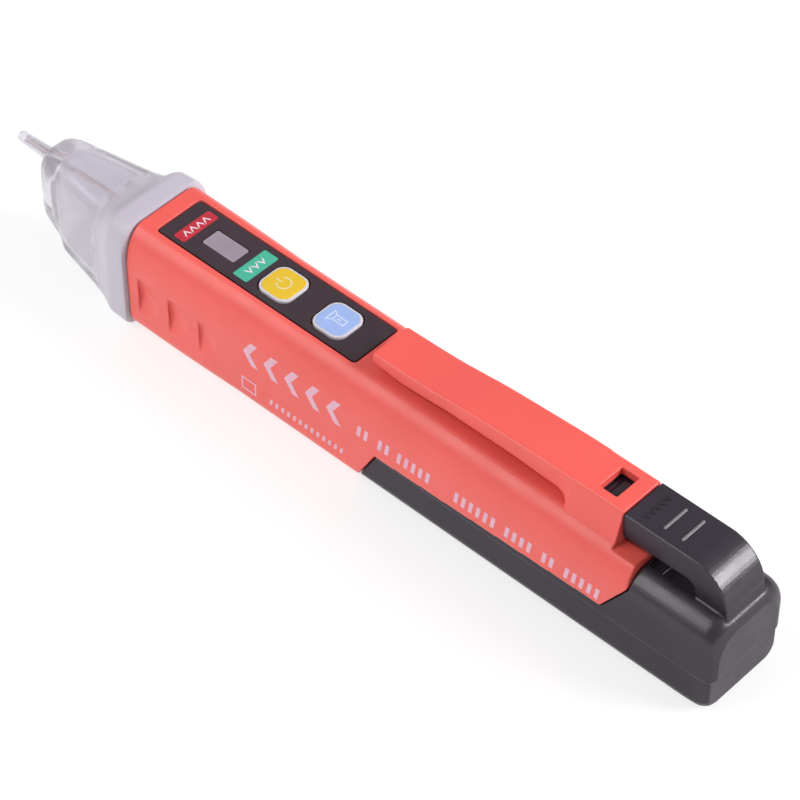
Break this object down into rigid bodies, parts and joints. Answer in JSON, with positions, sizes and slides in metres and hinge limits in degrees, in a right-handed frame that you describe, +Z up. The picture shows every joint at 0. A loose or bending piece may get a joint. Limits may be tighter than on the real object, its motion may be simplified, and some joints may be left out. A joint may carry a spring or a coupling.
{
  "type": "non contact voltage tester",
  "caption": "Pen-shaped non contact voltage tester with a clear sensing nose, display, buttons, pocket clip and a slide-out battery drawer with a press latch.",
  "frame": {"origin": "on the plane the pen lies on, under the centre of its bounding box", "axes": "+X along the pen from the probe tip towards the battery drawer's end, +Y across it, +Z up out of the display side"},
  "size_m": [0.1586, 0.0198, 0.0268],
  "materials": {
    "red_plastic": "fine satin moulded ABS",
    "dark_plastic": "fine spark-textured moulded ABS",
    "clear_plastic": "clear moulded polycarbonate, slightly frosted inside",
    "window_plastic": "polished",
    "panel_film": "gloss printed film",
    "display_glass": "polished",
    "black_rubber": "matte",
    "circuit_board": "solder mask",
    "component_black": "moulded",
    "copper_wire": "bright",
    "red_lens": "tinted lens",
    "green_lens": "tinted lens",
    "clear_lens": "clear lens",
    "nickel_steel": "nickel plated",
    "power_button_face": "satin keycap with a paler rim",
    "light_button_face": "satin keycap with a paler rim",
    "cell_wrap": "printed foil wrap"
  },
  "bodies": {
    "housing": {"upper_housing": "red_plastic", "nose_cone": "clear_plastic", "nose_seal": "black_rubber", "keypad_panel": "panel_film", "display_window": "window_plastic", "display_module": "display_glass", "display_connector": "black_rubber", "main_board": "circuit_board", "controller_chip": "component_black", "buzzer": "component_black", "sensing_antenna": "copper_wire", "red_indicator": "red_lens", "green_indicator": "green_lens", "torch_lamp": "clear_lens", "contact_carrier": "dark_plastic", "front_contact": "nickel_steel", "return_leaf": "nickel_steel", "board_screw_1": "nickel_steel", "board_screw_2": "nickel_steel", "power_switch": "nickel_steel", "light_switch": "nickel_steel"},
    "clip": {"pocket_clip": "red_plastic"},
    "drawer": {"battery_drawer": "dark_plastic", "front_cell": "cell_wrap", "rear_cell": "cell_wrap", "rear_contact": "nickel_steel", "rear_spring": "nickel_steel", "return_strip": "nickel_steel"},
    "latch": {"release_latch": "dark_plastic"},
    "power_key": {"power_button": "power_button_face"},
    "power_key_plunger": {"power_plunger": "component_black"},
    "light_key": {"light_button": "light_button_face"},
    "light_key_plunger": {"light_plunger": "component_black"}
  },
  "joints": [
    {"name": "drawer_slide", "type": "slide", "parent": "housing", "child": "drawer", "axis": [1, 0, 0], "range_m": [0, 0.084]},
    {"name": "latch_press", "type": "hinge", "parent": "drawer", "child": "latch", "pos_m": [0.07525, 0, 0.022], "axis": [0, -1, 0], "range_deg": [0, 3.5], "stiffness_Nm_per_rad": 4},
    {"name": "clip_flex", "type": "hinge", "parent": "housing", "child": "clip", "pos_m": [0.04745, 0, 0.0247], "axis": [0, 1, 0], "range_deg": [0, 4], "stiffness_Nm_per_rad": 4},
    {"name": "power_button_press", "type": "slide", "parent": "housing", "child": "power_key", "axis": [0, 0, -1], "range_m": [0, 0.00045], "stiffness_N_per_m": 800},
    {"name": "power_plunger_press", "type": "slide", "parent": "housing", "child": "power_key_plunger", "axis": [0, 0, -1], "range_m": [0, 0.00045]},
    {"name": "light_button_press", "type": "slide", "parent": "housing", "child": "light_key", "axis": [0, 0, -1], "range_m": [0, 0.00045], "stiffness_N_per_m": 800},
    {"name": "light_plunger_press", "type": "slide", "parent": "housing", "child": "light_key_plunger", "axis": [0, 0, -1], "range_m": [0, 0.00045]}
  ],
  "couplings": [
    {"joint": "power_plunger_press", "follows": "power_button_press", "ratio": 1},
    {"joint": "light_plunger_press", "follows": "light_button_press", "ratio": 1}
  ]
}
